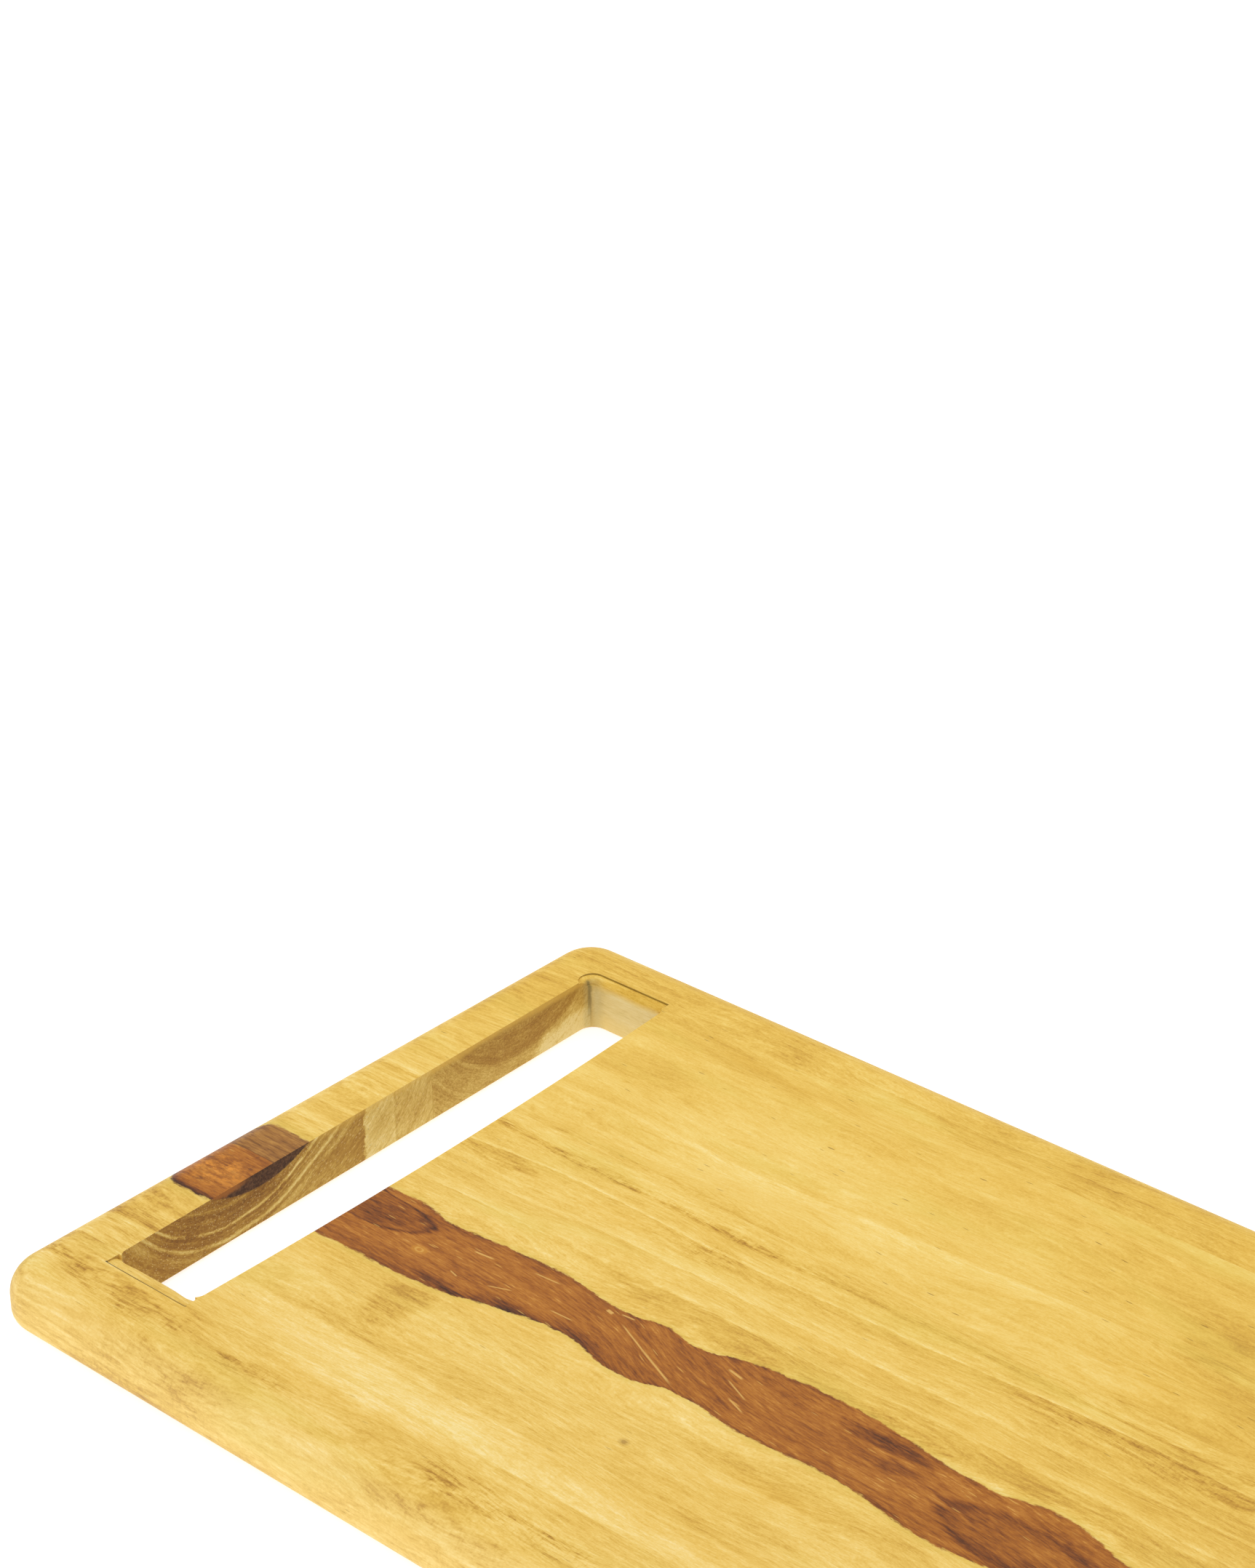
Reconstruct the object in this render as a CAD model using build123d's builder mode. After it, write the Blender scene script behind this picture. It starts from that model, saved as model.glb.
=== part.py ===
from build123d import *

import os

# A wooden serving tray: a thick board, edge-glued from staves, with a finger slot through near each end.
# Millimetres. +X runs along the length and the grain, +Y across, +Z up.
# The origin is the middle of the underside.

# The board.
tray_length = 406.0
tray_width = 254.0
thickness = 19.0
corner_radius = 14.0
top_edge_radius = 10.0
bottom_edge_radius = 5.0

# Glue joints between the staves, measured across the width from the front edge.
front_joint = 28.2
middle_joint = 156.0
back_joint = 229.6

# Finger slot, measured from the end of the board and from its front edge.
bar_width_front = 24.9
bar_width_back = 22.0
slot_mouth_front = 57.4
slot_mouth_middle = 57.95
slot_mouth_back = 53.7
slot_front = 25.3
slot_front_bulge = 1.7
slot_back = 231.2
slot_corner_radius = 4.0
lower_rim_break = 1.2

# On the top face the two ends of a slot are eased for the fingers, below a small step left by the cutter.
# Each easing runs a little past the slot's end wall.
ease_step = 0.4
front_ease_start = 22.6
front_ease_drop = 1.2
front_ease_overrun = 0.3
back_ease_start = 233.6
back_ease_drop = 2.3
back_ease_overrun = 2.2
back_ease_end = 52.6
back_hollow_centre = 24.4

# How far the cutting bodies reach past the faces they cut.
cut_margin = 5.0

half_length = tray_length / 2
half_width = tray_width / 2
slot_centre = (bar_width_front + slot_mouth_front) / 2


def along(distance):
    """X of a point this far in from the left end."""
    return distance - half_length


def across(distance):
    """Y of a point this far in from the front edge."""
    return distance - half_width


def eased_edge(start, wall, inner, drop, first_angle):
    """Outline, seen along X, of the wood taken off between the top face and a slot's end wall."""
    foot = thickness - ease_step
    above = thickness + cut_margin
    EllipticalCenterArc((start, foot - drop), abs(wall - start), drop, start_angle=first_angle, arc_size=90)
    Polyline((start, foot), (start, above), (inner, above), (inner, foot - drop), (wall, foot - drop))


os.makedirs("parts", exist_ok=True)

# The glued-up board before it is slotted, with its corners and both rims rounded.
with BuildPart() as board:
    with BuildSketch():
        RectangleRounded(tray_length, tray_width, corner_radius)
    extrude(amount=thickness)
    fillet(board.faces().sort_by(Axis.Z)[-1].edges(), top_edge_radius)
    fillet(board.faces().sort_by(Axis.Z)[0].edges(), bottom_edge_radius)

# The left slot as a cutting body. Its bar side is slightly skewed and the opposite side is a shallow bow.
front_left = (along(bar_width_front), across(slot_front))
front_middle = (along(slot_centre), across(slot_front + slot_front_bulge))
front_right = (along(slot_mouth_front), across(slot_front))
middle_right = (along(slot_mouth_middle), across((slot_front + slot_back) / 2))
back_right = (along(slot_mouth_back), across(slot_back))
back_left = (along(bar_width_back), across(slot_back))
with BuildPart() as left_cutter:
    with BuildSketch() as slot_outline:
        with BuildLine():
            ThreePointArc(front_left, front_middle, front_right)
            ThreePointArc(front_right, middle_right, back_right)
            Polyline(back_right, back_left, front_left)
        make_face()
        fillet(vertices(), slot_corner_radius)
    extrude(amount=thickness + cut_margin, both=True)
    front_wall = front_middle[1]
    front_inner = front_wall + front_ease_overrun
    with BuildSketch(Plane.YZ.offset(along(bar_width_front))):
        with BuildLine():
            eased_edge(across(front_ease_start), front_wall, front_inner, front_ease_drop, 0)
        make_face()
    extrude(amount=slot_mouth_front - bar_width_front)
    # The back easing ends in a round hollow that dies out along the bar.
    hollow_x = along(back_hollow_centre)
    hollow_y = across(slot_back - back_ease_overrun)
    with BuildSketch(Plane.YZ.offset(hollow_x)) as back_profile:
        with BuildLine():
            eased_edge(across(back_ease_start), across(slot_back), hollow_y, back_ease_drop, 90)
        make_face()
    extrude(amount=along(back_ease_end) - hollow_x)
    revolve(back_profile.sketch, axis=Axis((hollow_x, hollow_y, 0), (0, 0, 1)), revolution_arc=180)
    # The slot's lower rim is broken all round.
    with BuildSketch():
        add(slot_outline.sketch)
        offset(amount=lower_rim_break)
    extrude(amount=lower_rim_break, taper=45)

with BuildPart() as right_cutter:
    add(left_cutter.part)
    mirror(about=Plane.YZ, mode=Mode.REPLACE)


def stave(name, x_low, x_high, y_low, y_high):
    """Makes one piece of wood: the stretch of the slotted board between these X and Y limits."""
    with BuildPart() as piece:
        with BuildSketch():
            with Locations(((x_low + x_high) / 2, (y_low + y_high) / 2)):
                Rectangle(x_high - x_low, y_high - y_low)
        extrude(amount=thickness)
        add(board.part, mode=Mode.INTERSECT)
        add(left_cutter.part, mode=Mode.SUBTRACT)
        add(right_cutter.part, mode=Mode.SUBTRACT)
    piece.part.label = name
    export_step(piece.part, f"parts/{name}.step")


# The two rails run the whole length and close the ends of both slots.
stave("front_rail", -half_length, half_length, -half_width, across(front_joint))
stave("back_rail", -half_length, half_length, across(back_joint), half_width)

# Between the rails, each slot cuts the middle staves into a short block of the hand bar and a long plank.
bar_end = -half_length
plank_end = along(slot_centre)
middle_rows = {
    "front": (across(front_joint), across(middle_joint)),
    "back": (across(middle_joint), across(back_joint)),
}
for row, (y_low, y_high) in middle_rows.items():
    stave(f"{row}_plank", plank_end, -plank_end, y_low, y_high)
    stave(f"left_bar_{row}_block", bar_end, plank_end, y_low, y_high)
    stave(f"right_bar_{row}_block", -plank_end, -bar_end, y_low, y_high)
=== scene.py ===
import math

import bpy
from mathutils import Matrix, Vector


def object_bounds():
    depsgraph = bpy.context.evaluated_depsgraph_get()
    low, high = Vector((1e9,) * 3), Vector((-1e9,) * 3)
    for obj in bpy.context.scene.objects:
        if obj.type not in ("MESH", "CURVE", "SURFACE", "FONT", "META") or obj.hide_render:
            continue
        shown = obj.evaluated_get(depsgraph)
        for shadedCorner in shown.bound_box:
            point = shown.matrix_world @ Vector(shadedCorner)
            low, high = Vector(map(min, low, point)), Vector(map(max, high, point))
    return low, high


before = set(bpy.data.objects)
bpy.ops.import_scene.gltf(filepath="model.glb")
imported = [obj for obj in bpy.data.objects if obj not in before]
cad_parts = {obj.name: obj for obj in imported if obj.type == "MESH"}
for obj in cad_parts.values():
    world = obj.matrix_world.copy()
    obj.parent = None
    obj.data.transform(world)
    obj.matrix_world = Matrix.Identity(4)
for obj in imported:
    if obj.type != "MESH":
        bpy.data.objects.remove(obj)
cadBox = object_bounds()
print("frame loaded:", len(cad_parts), "pieces of wood")

mm = 0.001
noiseGain = 7.5    # spreads a noise texture's narrow range
trayLength, trayWidth, trayThickness = ((high - low) / mm for low, high in zip(*cadBox))

# Board coordinates run from the left end and from the front edge, in millimetres, like a joiner's rule.


class Field:
    # one socket of a shader, so that patterns can be written as sums and products

    def __init__(self, bench, socket):
        self.bench = bench
        self.socket = socket

    def __add__(self, other):
        return self.bench.maths("ADD", self, other)

    def __sub__(self, other):
        return self.bench.maths("SUBTRACT", self, other)

    def __rsub__(self, other):
        return self.bench.maths("SUBTRACT", other, self)

    def __mul__(self, other):
        return self.bench.maths("MULTIPLY", self, other)

    def __truediv__(self, other):
        return self.bench.maths("DIVIDE", self, other)

    def __rtruediv__(self, other):
        return self.bench.maths("DIVIDE", other, self)

    def __pow__(self, other):
        return self.bench.maths("POWER", self, other)

    __radd__ = __add__
    __rmul__ = __mul__


class Bench:
    # where one material's nodes are made and joined

    def __init__(self, name):
        self.material = bpy.data.materials.new(name)
        self.material.use_nodes = True
        self.tree = self.material.node_tree
        self.tree.nodes.clear()

    def node(self, kind, settings=None, inputs=None, output=0):
        made = self.tree.nodes.new(kind)
        for name, value in (settings or {}).items():
            if name == "stops":
                self.setStops(made.color_ramp, value)
            elif name == "points":
                self.setPoints(made.mapping, value)
            else:
                setattr(made, name, value)
        for name, value in (inputs or {}).items():
            if isinstance(value, Field):
                self.tree.links.new(value.socket, made.inputs[name])
            else:
                made.inputs[name].default_value = value
        return Field(self, made.outputs[output]) if made.outputs else None

    def setStops(self, ramp, stops):
        while len(ramp.elements) < len(stops):
            ramp.elements.new(0.5)
        for element, (place, colour) in zip(ramp.elements, stops):
            element.position = place
            element.color = (*colour, 1)

    def setPoints(self, mapping, points):
        curve = mapping.curves[0]
        while len(curve.points) < len(points):
            curve.points.new(0.5, 0.5)
        for point, place in zip(curve.points, points):
            point.location = place
        mapping.update()

    def maths(self, operation, *values):
        return self.node("ShaderNodeMath", {"operation": operation}, dict(enumerate(values)))

    def absolute(self, value):
        return self.maths("ABSOLUTE", value)

    def rise(self, value, low, high):
        # 0 below low and 1 above high, smooth between; it falls where low is the larger
        inputs = {"Value": value, "From Min": low, "From Max": high}
        return self.node("ShaderNodeMapRange", {"interpolation_type": "SMOOTHSTEP"}, inputs)

    def within(self, value, low, high, soft):
        return self.rise(value, low - soft, low + soft) * self.rise(value, high + soft, high - soft)

    def place(self, x, y, z):
        return self.node("ShaderNodeCombineXYZ", None, {"X": x, "Y": y, "Z": z})

    def noise(self, place, detail=2.0, rough=0.5):
        # mostly between -2 and 2, around 0
        inputs = {"Vector": place, "Scale": 1.0, "Detail": detail, "Roughness": rough}
        return (self.node("ShaderNodeTexNoise", None, inputs) - 0.5) * noiseGain

    def curve(self, value, points, xSpan, ySpan):
        # a smooth line through points given in millimetres
        scaled = [(x / xSpan, y / ySpan) for x, y in points]
        inputs = {"Factor": 1.0, "Value": value / xSpan}
        return self.node("ShaderNodeFloatCurve", {"points": scaled}, inputs) * ySpan

    def ramp(self, value, stops):
        return self.node("ShaderNodeValToRGB", {"stops": stops}, {"Fac": value})

    def mix(self, amount, first, second, blend="MIX"):
        first, second = (c if isinstance(c, Field) else (*c, 1) for c in (first, second))
        settings = {"data_type": "RGBA", "blend_type": blend, "clamp_factor": True}
        return self.node("ShaderNodeMix", settings, {0: amount, 6: first, 7: second}, 2)


# ---- the wood ----

grain = {
    # length along the grain and width across it, mm, then how much each changes the tone
    "broad": ((105, 8), 0.046),
    "patch": ((30, 12), 0.036),
    "streak": ((34, 2.6), 0.052),
    "fine": ((11, 1.2), 0.062),
    "fibre": ((4.2, 0.62), 0.072),
    "hair": ((1.5, 0.3), 0.056),
    "grit": ((0.7, 0.5), 0.042),
    "slant": ((95, 26), 2.6),      # how far the grain swings sideways, mm
    "pore": (11, 1.15),
    "poreSize": 0.12,              # share of a pore's cell that it fills
}

heartwood = {
    # the dark band's two edges on the top face: millimetres from the left end and from the front edge
    "farEdge": [
        (0, 103), (26, 103), (58, 101.7), (72, 102.2), (84, 100.2), (107, 101.9), (131, 102.5), (141, 100.9),
        (155, 100.6), (162, 102.7), (177, 100.8), (188, 104.3), (214, 107.8), (245, 106.2), (270, 103.6),
        (292, 107.2), (315, 101.9), (348, 99), (406, 98),
    ],
    "nearEdge": [
        (0, 62.5), (26, 63), (58, 71.1), (95, 72.6), (108, 74.4), (122, 78.2), (145, 81.6), (163, 78.0),
        (172, 78.2), (183, 81.4), (207, 79.6), (242, 80.7), (270, 76.6), (290, 78.2), (315, 76), (348, 72),
        (406, 70),
    ],
    "swing": [(0, 0), (100, 2), (140, 6), (182, 20), (215, 27), (260, 30), (320, 38), (406, 48)],
    "lensDepth": 5.2,              # how deep the dark wood goes under the face where it is widest, mm
    "lensWidth": 20.2,             # and half its width there
    # ovals: centre, then half-length and half-width
    "tongue": ((56, 92), (29, 7.8)),
    "eye": ((289, 90), (25, 9.5)),
    "eyeCore": ((291, 90), (8, 3.5)),
    "ember": ((14, 75), (16, 11)),
    "knot": ((87.2, 84.5), (2.5, 1.7)),
    # a scar, a burnt corner and other blots, with how much darker each is
    "blots": [
        ((240, 101), (19, 2.8), 0.34), ((248, 95), (7, 2.2), 0.28), ((102, 76), (9, 2.6), 0.34),
        ((246, 87), (18, 4), -0.12), ((136, 81), (22, 3), 0.10), ((76, 91), (22, 7), 0.06),
        ((195, 90), (10, 8), 0.07),
    ],
    # pale flecks: their two ends and how wide they are
    "flecks": [
        ((155, 94.9), (166, 90), 0.45), ((166, 90), (180, 84), 0.6), ((100, 94.2), (106, 94.9), 0.6),
        ((120, 97.6), (128, 98.2), 0.4), ((146.4, 97.8), (148.6, 97.4), 1.1), ((151, 98.8), (155, 99.2), 0.5),
        ((189, 98.9), (194, 98.0), 0.7), ((135, 87.4), (142, 87.7), 0.4), ((192, 95), (200, 91.6), 0.4),
        ((197, 89), (203, 86.8), 0.45), ((114, 84.6), (120, 87), 0.35), ((101, 82.9), (104, 82.1), 0.4),
    ],
    "greyFrom": 88.1,              # on the hand bars the dark wood is greyer behind this line
}


def boardSpace(bench):
    # distances from the left end and the front edge, depth under the top face, and which way a face looks
    spot = bench.node("ShaderNodeTexCoord", None, None, 3)
    spot = bench.node("ShaderNodeVectorMath", {"operation": "SCALE"}, {0: spot, "Scale": 1 / mm})
    facing = bench.node("ShaderNodeTexCoord", None, None, 1)
    x, y, z = (bench.node("ShaderNodeSeparateXYZ", None, {0: spot}, axis) for axis in range(3))
    facingX, facingY = (bench.node("ShaderNodeSeparateXYZ", None, {0: facing}, axis) for axis in range(2))
    space = {
        "x": x + trayLength / 2,
        "y": y + trayWidth / 2,
        "depth": trayThickness - z,
        "endGrain": bench.rise(bench.absolute(facingX), 0.5, 0.98),
        "facingY": facingY,
    }
    space["fromEnd"] = bench.maths("MINIMUM", space["x"], trayLength - space["x"])
    return space


def stretched(bench, space, size, shift=0.0, across=None):
    length, width = size
    return bench.place(
        space["x"] / length + shift,
        (space["swung"] if across is None else across) / width,
        space["depth"] / width + shift * 0.7,
    )


def growthRings(bench, space, look):
    # distance from the heart of the tree, which wanders a little along the board
    seed = look["seed"]
    wander = bench.noise(bench.place(space["x"] / 170, space["y"] / 60, seed), 1) * look["wander"]
    flutter = bench.noise(bench.place(space["x"] / 40, space["y"] / 12, space["depth"] / 12 + seed), 1)
    offset = space["y"] - look["pith"][0]
    if "follow" in look:
        offset = offset - look["follow"](bench, space)
    height = space["depth"] + look["pith"][1]
    radius = (offset * offset + height * height) ** 0.5 + wander + flutter * look["flutter"]
    turn = bench.maths("ARCTAN2", offset, height)
    return radius, turn


def spotRim(space, centre, radii, ragged):
    # 0 in the middle of a spot, 1 on its rim
    u = (space["x"] - centre[0]) / radii[0]
    v = (space["y"] - centre[1]) / radii[1]
    return (u * u + v * v) ** 0.5 + ragged


def stroke(bench, space, start, end, width):
    # 1 along a straight scratch or fleck, fading at its ends
    run = Vector(end) - Vector(start)
    reach = run.length
    ux, uy = run / reach
    dx, dy = space["x"] - start[0], space["y"] - start[1]
    along, off = dx * ux + dy * uy, bench.absolute(dx * uy - dy * ux)
    return bench.rise(off, width / 2 + 0.2, width / 2 - 0.2) * bench.within(along, 0, reach, reach * 0.15)


def growthLine(bench, space, line, tatter):
    # the wood is darker just below a growth line and paler just above it
    crest = bench.curve(space["x"], line["points"], trayLength, trayWidth)
    gap = space["y"] - crest + tatter * line["tatter"]
    below = bench.rise(gap, -line["below"], -line["below"] * 0.15) * bench.rise(gap, 0.25, -0.25)
    above = bench.rise(gap, line["above"], line["above"] * 0.25) * bench.rise(gap, -0.25, 0.25)
    return above * line["pale"] - below * line["dark"]


def heartwoodField(bench, space, fuzz):
    # above 0 inside the dark wood: a lens under the top face whose rim follows the two edge lines
    far = bench.curve(space["x"], heartwood["farEdge"], trayLength, trayWidth)
    near = bench.curve(space["x"], heartwood["nearEdge"], trayLength, trayWidth)
    half = (far - near) * 0.5
    u = (space["y"] - (far + near) * 0.5 + fuzz) / half
    reach = half / heartwood["lensWidth"]
    return 1 - u * u - space["depth"] / (reach * reach * heartwood["lensDepth"]), u


def bandDrift(bench, space):
    # the growth lines beside the dark band bend with it
    far = bench.curve(space["x"], heartwood["farEdge"], trayLength, trayWidth)
    near = bench.curve(space["x"], heartwood["nearEdge"], trayLength, trayWidth)
    middle = (far + near) * 0.5
    gap = bench.absolute(space["y"] - middle)
    return (middle - 90) * bench.rise(gap, 60, 12)


sapwoodTones = [
    (0.0, (0.400, 0.190, 0.020)),
    (0.22, (0.580, 0.320, 0.045)),
    (0.42, (0.730, 0.455, 0.078)),
    (0.62, (0.835, 0.560, 0.130)),
    (0.82, (0.905, 0.660, 0.215)),
    (1.0, (0.950, 0.760, 0.350)),
]
endGrainTones = [
    (0.0, (0.150, 0.066, 0.016)),
    (0.25, (0.320, 0.152, 0.028)),
    (0.45, (0.440, 0.245, 0.045)),
    (0.65, (0.600, 0.392, 0.092)),
    (0.85, (0.740, 0.545, 0.165)),
    (1.0, (0.850, 0.685, 0.300)),
]
heartwoodTones = [
    (0.0, (0.060, 0.018, 0.006)),
    (0.3, (0.215, 0.060, 0.007)),
    (0.55, (0.370, 0.118, 0.010)),
    (0.8, (0.500, 0.190, 0.022)),
    (1.0, (0.700, 0.360, 0.080)),
]


def poreDots(bench, place, share):
    cells = {"Vector": place, "Scale": 1.0, "Randomness": 1.0}
    distance = bench.node("ShaderNodeTexVoronoi", {"feature": "F1"}, cells, 0)
    chance = bench.node("ShaderNodeTexVoronoi", {"feature": "F1"}, cells, 1)
    chance = bench.node("ShaderNodeSeparateColor", None, {0: chance}, 0)
    return bench.rise(distance, share * 1.3, share * 0.6), chance


def staveWood(name, look):
    bench = Bench(name)
    space = boardSpace(bench)
    seed = look["seed"]
    radius, turn = growthRings(bench, space, look)
    (slantLength, slantWidth), slantReach = grain["slant"]
    swing = bench.noise(bench.place(space["x"] / slantLength, space["y"] / slantWidth, seed + 1), 1)
    space["swung"] = space["y"] + swing * slantReach

    # tone of the plain wood: soft bands and fine lines along the grain, then single fibres
    layer = {}
    tone = look["tone"]
    onBar = bench.rise(space["fromEnd"], 40, 30)
    for order, part in enumerate(("broad", "patch", "streak", "fine", "fibre", "hair", "grit")):
        size, amount = grain[part]
        across = radius if part in ("broad", "streak") else None
        layer[part] = bench.noise(stretched(bench, space, size, seed + order * 2.3, across), 2, 0.55)
        tone = tone + layer[part] * (amount * look.get(part, 1.0))
    # painted shade: faces more than 4 to 9 mm under the top face, the sides and slot walls, are darker
    tone = tone + (layer["streak"] + layer["fine"]) * onBar * 0.03 - bench.rise(space["depth"], 4, 9) * 0.09
    # painted highlight: the front rounded edge and side, within 9 mm of the front edge, are paler
    tone = tone + bench.rise(space["y"], 9, 2) * 0.11
    for line in look.get("growthLines", []):
        tone = tone + growthLine(bench, space, line, layer["fibre"])
    for centre, radii, change in look.get("stains", []):
        rim = spotRim(space, centre, radii, layer["patch"] * 0.12 + layer["fine"] * 0.06)
        tone = tone + bench.rise(rim, 1.3, 0.6) * change

    # smudges with short hatching across the grain, in patches
    smudge = bench.noise(stretched(bench, space, (9, 1.5), seed + 19), 3, 0.65)
    hatchPlace = bench.place(space["x"] / 0.9, space["swung"] / 3.2, space["depth"] / 3 + seed)
    hatch = bench.noise(hatchPlace, 2, 0.6)
    mottleReach = bench.rise(bench.noise(stretched(bench, space, (42, 10), seed + 20), 2), 0.3, 1.8)
    mottleReach = mottleReach * look["mottle"]
    for centre, radii, strength in look.get("mottles", []):
        rim = spotRim(space, centre, radii, layer["patch"] * 0.2)
        mottleReach = mottleReach + bench.rise(rim, 1.3, 0.5) * strength
    tone = tone - (bench.rise(smudge, -0.7, 1.7) + bench.rise(hatch, -0.2, 2.0) * 0.45) * mottleReach

    if look.get("heartwood"):
        fuzz = bench.noise(stretched(bench, space, (3.4, 1.6), seed + 21), 3, 0.65) * 0.30
        fuzz = fuzz + layer["fibre"] * 0.16
        field, side = heartwoodField(bench, space, fuzz)
        featherPlace = bench.place(space["x"] / 6, (space["y"] - space["x"] * 0.36) / 0.75, seed)
        feather = bench.noise(featherPlace, 2, 0.6)
        tone = tone + feather * bench.rise(field, -1.1, -0.2) * bench.rise(side, 0.2, 0.9) * 0.10

    # fine dark lines where the growth rings run out at the face
    if "figure" in look:
        low, high, spacing, strength = look["figure"]
        figurePlace = bench.place(space["x"] / 105, space["y"] / 21, space["depth"] / 21 + seed)
        contour = bench.noise(figurePlace, 1) * 2.4
        contour = contour + space["y"] / spacing + layer["streak"] * 0.10
        lines = bench.rise(bench.maths("SINE", contour * math.tau), 0.55, 1.0)
        broken = bench.rise(bench.noise(stretched(bench, space, (22, 5), seed + 23), 2), -0.4, 1.4)
        tone = tone - lines * broken * bench.within(space["y"], low, high, 5) * strength
    colour = bench.ramp(tone, sapwoodTones)
    warm = bench.noise(stretched(bench, space, (60, 14), seed + 31), 1)
    colour = bench.mix(bench.rise(warm, 0.2, 2.2) * 0.22, colour, (0.80, 0.47, 0.06))
    colour = bench.mix(bench.rise(warm, -0.2, -2.2) * 0.22, colour, (0.74, 0.60, 0.13))
    colour = bench.mix(bench.rise(space["y"], 20, 230), colour, (1.0, 0.97, 0.77), "MULTIPLY")
    # painted highlight: pale cream on the front rounded edge and side
    colour = bench.mix(bench.rise(space["y"], 9, 2) * 0.12, colour, (0.98, 0.80, 0.46))

    # pores: thin dark dashes on the long faces
    pore, chance = poreDots(bench, stretched(bench, space, grain["pore"], seed), grain["poreSize"])
    crowd = bench.noise(stretched(bench, space, (90, 9), seed + 11, radius), 2)
    pore = pore * bench.rise(chance + crowd * 0.06, look["poreChance"] - 0.03, look["poreChance"] + 0.03)
    longFace = 1 - space["endGrain"]
    colour = bench.mix(pore * longFace * look["poreDark"], colour, (0.24, 0.115, 0.02))
    colour = bench.mix(space["endGrain"], colour, endGrainColour(bench, space, look, radius, turn))

    height = layer["broad"] * 0.02 + layer["fine"] * 0.008 + layer["fibre"] * 0.008 + layer["hair"] * 0.004
    height = height - pore * longFace * 0.06 - bench.rise(hatch, 0, 2) * mottleReach * 0.05
    rough = 0.48 + layer["fibre"] * 0.02 + layer["patch"] * 0.015 + pore * 0.15 + space["endGrain"] * 0.16

    if look.get("heartwood"):
        colour, height, rough = addHeartwood(bench, space, seed, colour, height, rough, layer, field, side)
    for centre, size in look.get("pinKnots", []):
        rim = spotRim(space, centre, (size * 1.3, size), layer["fibre"] * 0.08)
        top = bench.rise(space["depth"], 4, 2)
        colour = bench.mix(bench.rise(rim, 1.4, 0.8) * top * 0.4, colour, (0.46, 0.25, 0.035))
        colour = bench.mix(bench.rise(rim, 0.8, 0.4) * top * 0.5, colour, (0.30, 0.14, 0.02))
    colour, height, rough = addSlotShadeAndColour(bench, space, colour, height, rough, layer)

    bump = bench.node("ShaderNodeBump", None, {"Strength": 1.0, "Distance": mm, "Height": height})
    shader = bench.node("ShaderNodeBsdfPrincipled", None, {
        "Base Color": colour,
        "Roughness": rough,
        "Normal": bump,
        "IOR": 1.46,
        "Specular IOR Level": 0.18,
    })
    bench.node("ShaderNodeOutputMaterial", None, {"Surface": shader})
    return bench.material


def endGrainColour(bench, space, look, radius, turn):
    # on the sawn ends the rings show as arcs, crossed by strokes of pale pores
    seed = look["seed"]
    sliceShift = space["x"] / 60
    lap = turn * 52
    arcs = bench.noise(bench.place(lap / 45, radius / 1.25, sliceShift + seed), 2, 0.6)
    strokes = bench.noise(bench.place(lap / 1.1 + radius * 0.4, radius / 0.38, sliceShift + seed), 2, 0.6)
    grit = bench.noise(bench.place(space["y"] / 0.7, space["depth"] / 0.7, sliceShift + seed), 2, 0.6)
    cloud = bench.noise(bench.place(space["y"] / 9, space["depth"] / 6, sliceShift + seed), 2)
    tone = look["endTone"] + arcs * 0.050 + strokes * 0.085 + grit * 0.045 + cloud * 0.035
    for low, high, soft, change in look.get("endRings", []):
        patchy = bench.rise(cloud + strokes * 0.4, -2.2, 0.6)
        tone = tone + bench.within(radius, low, high, soft) * patchy * change
    for low, high, soft, change in look.get("endZones", []):
        tone = tone + bench.within(space["y"] + cloud * 0.6 + grit * 0.3, low, high, soft) * change
    tone = tone + bench.rise(space["depth"], 9, 19) * look.get("endLow", 0.08)   # towards the underside
    if "endLens" in look:
        size, change = look["endLens"]
        lens = bench.rise(radius + arcs * 0.3, size + 0.8, size - 0.8)
        tone = tone + lens * change
    for low, high, change in look.get("endPaleLow", []):
        foot = bench.within(space["y"] + cloud, low, high, 4) * bench.rise(space["depth"] + cloud, 6, 13)
        tone = tone + foot * change
    colour = bench.ramp(tone, endGrainTones)
    dots, dotChance = poreDots(bench, bench.place(lap / 0.95, radius / 0.6, sliceShift + seed), 0.30)
    dots = dots * bench.rise(dotChance + arcs * 0.12, 0.45, 0.6)
    colour = bench.mix(dots * look.get("endDots", 0.3), colour, (0.80, 0.62, 0.27))
    for low, high in look.get("endSpecks", []):
        specks = bench.rise(grit + strokes * 0.4, 1.1, 2.0) * bench.within(space["y"], low, high, 1)
        colour = bench.mix(specks * 0.7, colour, (0.26, 0.15, 0.03))
    # the top edge of a bar is rubbed clean
    raggedDepth = space["depth"] + grit * 0.25 + strokes * 0.2 + cloud * 0.4
    rubbed = bench.rise(raggedDepth, 2.6, 0.4) * look.get("endRubbed", 0)
    rubbed = rubbed * bench.rise(space["y"] + cloud * 2, 104, 112)
    return bench.mix(rubbed, colour, (0.78, 0.50, 0.095))


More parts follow.
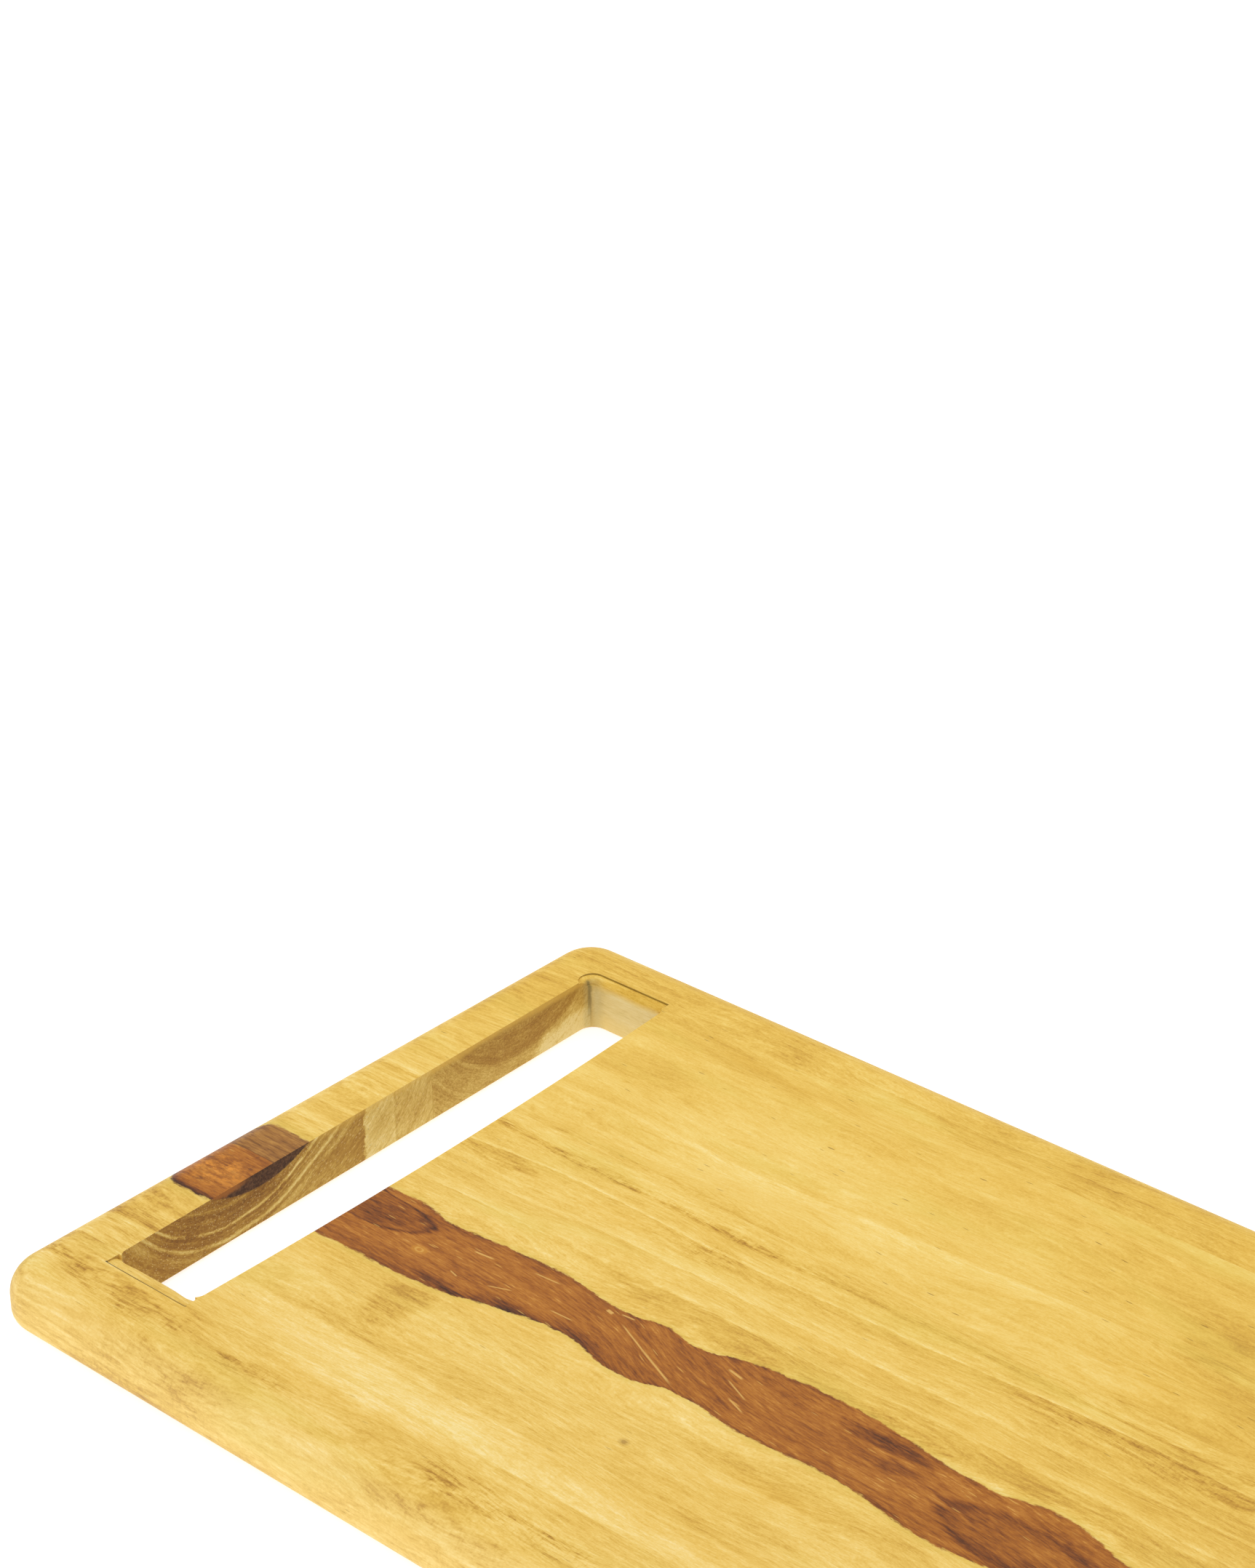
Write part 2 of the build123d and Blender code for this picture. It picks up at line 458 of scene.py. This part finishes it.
def addHeartwood(bench, space, seed, colour, height, rough, layer, field, side):
    inside = bench.rise(field, -0.05, 0.065)
    edge = bench.rise(field, 0.30, 0.03)
    onBar = bench.rise(space["fromEnd"], 40, 34)

    # the grain in the dark wood swings across the board
    swing = bench.curve(space["x"], heartwood["swing"], trayLength, 60)
    slant = space["y"] + swing
    streaks = bench.noise(stretched(bench, space, (13, 1.6), seed + 22, slant), 3, 0.6)
    fine = bench.noise(stretched(bench, space, (4.2, 0.6), seed + 23, slant), 2, 0.6)
    cloud = bench.noise(stretched(bench, space, (24, 6), seed + 24, slant), 2)
    tone = 0.60 + streaks * 0.105 + fine * 0.105 + cloud * 0.075 + layer["hair"] * 0.05
    tone = tone - edge * (onBar * 0.22 + 0.15)
    tone = tone - bench.rise(side, -0.35, -0.95) * (bench.within(space["x"], 104, 156, 8) * 0.12 + 0.06)

    # darker contours: a tongue from the slot and an eye further on
    ragged = streaks * 0.03 + cloud * 0.05
    tongue = spotRim(space, *heartwood["tongue"], ragged)
    tone = tone - bench.rise(tongue, 1.06, 0.9) * 0.13 - bench.within(tongue, 0.93, 1.03, 0.05) * 0.34
    eye = spotRim(space, *heartwood["eye"], ragged)
    tone = tone - bench.rise(eye, 1.15, 0.85) * 0.12 - bench.within(eye, 0.78, 1.00, 0.16) * 0.20
    eyeCore = spotRim(space, *heartwood["eyeCore"], ragged)
    tone = tone + bench.rise(eyeCore, 1.4, 0.4) * 0.10
    for centre, radii, dark in heartwood["blots"]:
        mark = spotRim(space, centre, radii, ragged * 1.8)
        tone = tone - bench.rise(mark, 1.3, 0.4) * dark
    dark = bench.ramp(tone, heartwoodTones)

    # on the hand bars the part towards the back is greyer, past a thin dark line, and the front glows orange
    greyFrom = heartwood["greyFrom"]
    greyTone = streaks * 0.16 + fine * 0.17 + 0.5
    grey = bench.rise(space["y"] + fine * 0.25, greyFrom, greyFrom + 0.8) * onBar
    greyWood = bench.ramp(greyTone, [
        (0.0, (0.100, 0.040, 0.012)), (0.45, (0.315, 0.138, 0.028)), (1.0, (0.520, 0.265, 0.058)),
    ])
    dark = bench.mix(grey * 0.85, dark, greyWood)
    ember = bench.noise(bench.place(space["x"] / 5, space["y"] / 3.2, space["depth"] / 3.2), 3, 0.7)
    hearth = bench.rise(spotRim(space, *heartwood["ember"], ember * 0.1), 1.2, 0.2) * (1 - grey)
    dark = bench.mix(bench.rise(ember, -0.5, 1.3) * onBar * hearth * 0.95, dark, (0.80, 0.31, 0.034))
    dark = bench.mix(bench.rise(ember, -0.4, -1.7) * onBar * 0.8, dark, (0.15, 0.045, 0.012))
    line = bench.within(space["y"] + fine * 0.2, greyFrom, greyFrom + 0.6, 0.35) * onBar
    dark = bench.mix(line * 0.65, dark, (0.07, 0.028, 0.012))

    # pale flecks, one long slanting one, and a small knot
    flecks, fleckChance = poreDots(bench, stretched(bench, space, (10, 1.2), seed + 30, slant), 0.16)
    dark = bench.mix(flecks * bench.rise(fleckChance, 0.72, 0.78) * 0.55, dark, (0.74, 0.42, 0.09))
    for start, end, width in heartwood["flecks"]:
        dark = bench.mix(stroke(bench, space, start, end, width) * 0.7, dark, (0.82, 0.50, 0.13))
    knot = spotRim(space, *heartwood["knot"], fine * 0.09)
    dark = bench.mix(bench.rise(knot, 1.3, 0.9) * 0.45, dark, (0.66, 0.29, 0.03))
    dark = bench.mix(bench.within(knot, 0.35, 0.6, 0.14) * 0.55, dark, (0.80, 0.47, 0.10))

    # sawn across, it is nearly black, and still orange near the front where it meets the face
    onEnd = bench.mix(bench.rise(streaks + fine, -1.5, 2.5), (0.062, 0.027, 0.013), (0.160, 0.078, 0.036))
    glow = bench.within(space["y"], 62, 76, 4) * bench.rise(space["depth"] + ember * 0.4, 2.6, 0.8)
    onEnd = bench.mix(glow * 0.8, onEnd, (0.40, 0.145, 0.028))
    dark = bench.mix(space["endGrain"], dark, onEnd)

    halo = bench.rise(field, -0.50, -0.02) * (1 - space["endGrain"])
    colour = bench.mix(halo * 0.35, colour, (0.70, 0.50, 0.085))
    colour = bench.mix(inside, colour, dark)
    height = height + streaks * inside * 0.008 + fine * inside * 0.008
    rough = rough - inside * 0.04
    return colour, height, rough


slotMarks = {
    "frontStep": 22.6,             # where the small step at the slot's near end lies, from the front edge
    "hollow": (24.4, 229.0, 4.6),  # centre and radius of the round hollow at the back step's end
    "frontReach": (24.6, 57.6),    # and how far along the board they reach
    "backStep": 233.6,             # the far end's step, where it runs straight
    "backReach": (19.3, 52.7),
}


def addSlotShadeAndColour(bench, space, colour, height, rough, layer):
    # painted shade in the crease of each step and in the slot's back corner, and pale cream on the slot's
    # back wall
    reach = bench.within(space["fromEnd"], *slotMarks["frontReach"], 0.4)
    top = bench.rise(space["depth"], 1.4, 0.9)
    wobble = layer["patch"] * 0.04
    # painted shade: a near-black line in the crease of the front step, at the top face
    creaseShade = bench.rise(bench.absolute(space["y"] + wobble - slotMarks["frontStep"] - 0.1), 0.42, 0.16)
    colour = bench.mix(creaseShade * reach * top * 0.9, colour, (0.055, 0.030, 0.012))
    # the back step follows the round hollow at the slot's outer corner
    centreX, centreY, hollowRadius = slotMarks["hollow"]
    inward = bench.maths("MINIMUM", space["fromEnd"] - centreX, 0)
    upward = space["y"] + wobble - centreY
    fromRim = bench.absolute((inward * inward + upward * upward) ** 0.5 - hollowRadius)
    backReach = bench.within(space["fromEnd"], *slotMarks["backReach"], 0.3)
    faint = 1 - bench.rise(space["y"], 232.6, 229.5) * 0.6
    # painted shade: a dark line in the crease of the back step, round the hollow, with a hook at the step's
    # end
    backCreaseShade = bench.rise(fromRim, 0.27, 0.08) * bench.rise(space["y"], 226.5, 229) * faint * backReach
    stepEnd, backStep = slotMarks["backReach"][1] - 0.2, slotMarks["backStep"]
    hook = bench.rise(bench.absolute(space["fromEnd"] - stepEnd), 0.34, 0.12)
    hook = hook * bench.within(space["y"], backStep - 2.2, backStep + 0.1, 0.3)
    backCreaseShade = bench.maths("MAXIMUM", backCreaseShade, hook * 0.8)
    colour = bench.mix(backCreaseShade * top * 0.66, colour, (0.20, 0.13, 0.02))
    # the slot's back wall is pale cream below its top strip, more golden lower down
    wall = bench.rise(space["facingY"] * -1, 0.45, 0.97) * bench.within(space["fromEnd"], 19, 54.5, 0.5)
    wall = wall * bench.within(space["y"], 228.2, 233.2, 0.6)
    paleWallTone = layer["fibre"] * 0.09 + (layer["patch"] + layer["streak"] + layer["hair"]) * 0.05 + 0.52
    paleWallColour = bench.ramp(paleWallTone, [
        (0.0, (0.56, 0.41, 0.14)), (0.5, (0.78, 0.62, 0.265)), (1.0, (0.89, 0.76, 0.42)),
    ])
    paleWallColour = bench.mix(bench.rise(space["depth"] + layer["patch"], 11, 17) * 0.45, paleWallColour, (0.86, 0.64, 0.22))
    colour = bench.mix(wall * bench.rise(space["depth"] + layer["patch"] * 0.5, 1.8, 5.5), colour, paleWallColour)
    # painted shade: grey-green in the slot's back corner
    shadedCorner = bench.rise(space["fromEnd"], 28.5, 23.5) * bench.rise(space["y"], 226.2, 228.6)
    shadedCorner = shadedCorner * bench.rise(space["depth"], 0.3, 1.6) * bench.rise(space["fromEnd"], 21.0, 22.2)
    colour = bench.mix(shadedCorner * 0.34, colour, (0.36, 0.31, 0.15))
    seam = bench.rise(bench.absolute(space["y"] + layer["fibre"] * 0.06 - 229.4), 0.8, 0.15)
    seam = seam * shadedCorner * bench.rise(space["depth"] + layer["patch"] * 1.5, 18, 8)
    colour = bench.mix(seam * 0.62, colour, (0.16, 0.13, 0.05))
    return colour, height, rough


staveLooks = {
    "heartwoodStave": {
        "nodes": ["front_plank", "left_bar_front_block", "right_bar_front_block"],
        "seed": 3.0, "pith": (79, 42), "wander": 0.5, "flutter": 0.22, "follow": bandDrift, "heartwood": True,
        "tone": 0.635, "mottle": 0.10, "poreChance": 0.93, "poreDark": 0.35,
        "growthLines": [
            {"points": [(0, 135), (58, 136.4), (75, 138.2), (96, 139.8), (120, 139.8), (146, 139),
                        (176, 139.5), (206, 141), (240, 142.5), (280, 145), (320, 144.4), (406, 143)],
             "below": 8, "dark": 0.12, "above": 1.5, "pale": 0.18, "tatter": 0.12},
            {"points": [(0, 121), (66, 122.6), (96, 122.5), (116, 125), (146, 126), (206, 126), (320, 128),
                        (406, 128)],
             "below": 8, "dark": 0.07, "above": 3.5, "pale": 0.10, "tatter": 0.2},
            {"points": [(0, 112), (110, 113.5), (146, 115), (206, 115.5), (300, 118), (406, 117)],
             "below": 3, "dark": 0.04, "above": 3.5, "pale": 0.10, "tatter": 0.4},
            {"points": [(0, 149.5), (58, 149.2), (75, 148.2), (106, 147), (140, 147), (200, 148.6),
                        (406, 149)],
             "below": 0.9, "dark": 0.26, "above": 1.7, "pale": -0.14, "tatter": 0.5},
            {"points": [(0, 40), (60, 42), (110, 43), (160, 41.5), (240, 42), (406, 39)],
             "below": 3, "dark": -0.08, "above": 6, "pale": -0.08, "tatter": 0.4},
        ],
        "stains": [
            ((101, 62), (7.5, 11), -0.17), ((185, 33), (110, 5), 0.13),
            ((205, 49), (45, 5), -0.10), ((95, 34), (45, 6), 0.08), ((14, 52), (18, 13), -0.12),
            ((12, 130), (20, 9), -0.09),
            ((110, 131), (50, 14), 0.04), ((225, 110.5), (85, 6), -0.22),
            # the wide oval round (345, 130) darkens the right-hand end as a whole
            ((345, 130), (70, 50), -0.12), ((240, 69), (50, 5), -0.15), ((80, 68), (24, 4), -0.14),
            ((110, 109), (26, 4), 0.10),
        ],
        "mottles": [((70, 134), (18, 4), 0.30), ((150, 136), (11, 5), 0.42), ((120, 148.2), (75, 2.4), 0.46),
                    ((101, 62), (7, 10), 0.16), ((300, 141), (60, 5), 0.30), ((14, 45), (16, 14), 0.24)],
        "pinKnots": [((188, 57), 1.2)],
        "endTone": 0.26, "endLow": 0.12, "endDots": 0.5, "endRubbed": 0.4,
        "endRings": [(53.6, 54.5, 0.4, 0.52), (58.0, 59.2, 0.5, 0.40), (46.8, 47.4, 0.4, 0.24),
                     (55.8, 56.2, 0.3, 0.20), (50.4, 50.8, 0.3, 0.16), (61, 63, 0.8, 0.16)],
        "endZones": [(126.5, 139.5, 0.8, 0.53), (92, 126, 8, 0.19), (139.5, 160, 1.5, 0.43),
                     (16, 41, 5, 0.22)],
        "endSpecks": [(127, 139)],
    },
    "paleStave": {
        "nodes": ["back_plank", "left_bar_back_block", "right_bar_back_block"],
        "seed": 17.0, "pith": (197, 31), "wander": 0.9, "flutter": 0.35,
        "tone": 0.650, "broad": 0.9, "patch": 0.9, "streak": 0.8, "fine": 0.75, "fibre": 0.7, "hair": 0.8,
        "mottle": 0.05, "poreChance": 0.82, "poreDark": 0.65,
        "figure": (152, 190, 4.6, 0.13),
        "growthLines": [
            {"points": [(0, 176), (90, 178), (148, 177.5), (176, 180), (256, 184.5), (330, 189), (406, 192)],
             "below": 6, "dark": -0.08, "above": 9, "pale": -0.05, "tatter": 0.3},
            {"points": [(0, 236), (56, 233.5), (100, 225), (150, 214), (200, 207), (406, 196)],
             "below": 7, "dark": 0.06, "above": 1.5, "pale": 0.03, "tatter": 0.5},
        ],
        "stains": [
            ((64, 200), (22, 9), -0.12), ((90, 224), (55, 8), -0.12), ((12, 212), (16, 22), -0.14),
            # the wide oval round (345, 160) darkens the right-hand end as a whole
            ((145, 185), (60, 20), 0.13), ((270, 206), (50, 20), -0.12), ((345, 160), (75, 55), -0.20),
            ((200, 171), (36, 9), 0.08),
        ],
        "mottles": [((110, 157), (60, 2), 0.22), ((95, 192), (30, 4), 0.12)],
        "endTone": 0.59, "endLow": 0.09, "endDots": 0.10, "endLens": (43.5, -0.16), "endRubbed": 0.6,
        "endPaleLow": [(206, 236, 0.34)],
    },
    "frontRailWood": {
        "nodes": ["front_rail"],
        "seed": 29.0, "pith": (-20, 60), "wander": 1.2, "flutter": 0.8,
        "tone": 0.590, "broad": 1.4, "patch": 1.6, "streak": 1.3, "mottle": 0.20,
        "poreChance": 0.92, "poreDark": 0.3,
        "stains": [
            ((44, 20), (28, 6), -0.08), ((30, 12), (22, 6), -0.05), ((72, 14), (12, 5), -0.05),
            ((112, 13), (18, 6), 0.14), ((62, 0), (22, 4), -0.10), ((160, 6), (22, 5), -0.08),
            ((100, 26), (70, 2.5), 0.10),
        ],
        "mottles": [((42, 16), (30, 7), 0.42), ((92, 14), (16, 4), 0.36), ((180, 15), (30, 6), 0.42),
                    ((250, 13), (30, 6), 0.25), ((5, 30), (10, 30), 0.16),
                    ((60, 1), (34, 5), 0.26), ((190, 1), (50, 5), 0.24), ((330, 1), (40, 5), 0.20)],
        "endTone": 0.62,
    },
    "backRailWood": {
        "nodes": ["back_rail"],
        "seed": 41.0, "pith": (238, 46), "wander": 1.0, "flutter": 0.5,
        "tone": 0.545, "broad": 0.9, "streak": 1.3, "mottle": 0.06, "poreChance": 0.84, "poreDark": 0.6,
        "growthLines": [
            {"points": [(0, 240), (56, 241.5), (100, 239.5), (150, 238), (250, 239), (406, 240)],
             "below": 3.5, "dark": 0.10, "above": 1.2, "pale": 0.05, "tatter": 0.4},
        ],
        "endTone": 0.58,
    },
}

for woodName, woodLook in staveLooks.items():
    wood = staveWood(woodName, woodLook)
    for nodeName in woodLook["nodes"]:
        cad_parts[nodeName].material_slots[0].material = wood
    print("finished", woodName, "on", ", ".join(woodLook["nodes"]))


# ---- floor, light and camera ----

studio = {
    "floorSide": 6.0,                    # metres
    "floorGap": 0.0002,
    "floorAlbedo": 0.50,
    "floorGlow": 0.74,
    "skyStrength": 0.78,
    "keyPower": 7.0, "keySize": 1.6, "keyFrom": (-0.7, 0.9, 1.7),
    "fillPower": 5.4, "fillSize": 1.0, "fillFrom": (0.1, -1.2, 1.35),
    "cameraFrom": (0.45977, -0.61344, 0.58034),
    "cameraLook": (-0.58491, 0.67122, -0.45535),
    "lens": 79.25,                       # millimetres, on a 36 mm sensor
}


def layFloor():
    half = studio["floorSide"] / 2
    sheet = bpy.data.meshes.new("studioFloor")
    corners = [(-half, -half), (half, -half), (half, half), (-half, half)]
    level = cadBox[0].z - studio["floorGap"]
    sheet.from_pydata([(x, y, level) for x, y in corners], [], [(0, 1, 2, 3)])
    floor = bpy.data.objects.new("studioFloor", sheet)
    bpy.context.scene.collection.objects.link(floor)
    bench = Bench("paleFloor")
    shader = bench.node("ShaderNodeBsdfPrincipled", None, {
        "Base Color": (studio["floorAlbedo"],) * 3 + (1,),
        "Roughness": 0.9,
        "Specular IOR Level": 0.0,
        "Emission Color": (1, 1, 1, 1),
        "Emission Strength": studio["floorGlow"],
    })
    bench.node("ShaderNodeOutputMaterial", None, {"Surface": shader})
    sheet.materials.append(bench.material)


def hangSoftLight(name, place, size, power):
    lamp = bpy.data.lights.new(name, "AREA")
    lamp.shape = "SQUARE"
    lamp.size = size
    lamp.energy = power
    holder = bpy.data.objects.new(name, lamp)
    holder.location = place
    holder.rotation_euler = (Vector((0, 0, 0)) - Vector(place)).to_track_quat("-Z", "Y").to_euler()
    bpy.context.scene.collection.objects.link(holder)


def lightTheRoom():
    world = bpy.data.worlds.new("paleStudio")
    world.use_nodes = True
    sky = world.node_tree.nodes["Background"]
    sky.inputs["Color"].default_value = (1, 1, 1, 1)
    sky.inputs["Strength"].default_value = studio["skyStrength"]
    bpy.context.scene.world = world
    hangSoftLight("keyLight", studio["keyFrom"], studio["keySize"], studio["keyPower"])
    hangSoftLight("fillLight", studio["fillFrom"], studio["fillSize"], studio["fillPower"])
    bpy.context.scene.view_settings.view_transform = "Standard"


def setCamera():
    camera = bpy.data.cameras.new("camera")
    camera.lens = studio["lens"]
    camera.sensor_width = 36
    camera.clip_start = 0.01
    holder = bpy.data.objects.new("camera", camera)
    holder.location = studio["cameraFrom"]
    holder.rotation_euler = Vector(studio["cameraLook"]).to_track_quat("-Z", "Y").to_euler()
    bpy.context.scene.collection.objects.link(holder)
    bpy.context.scene.camera = holder


layFloor()
lightTheRoom()
setCamera()
print("studio ready")
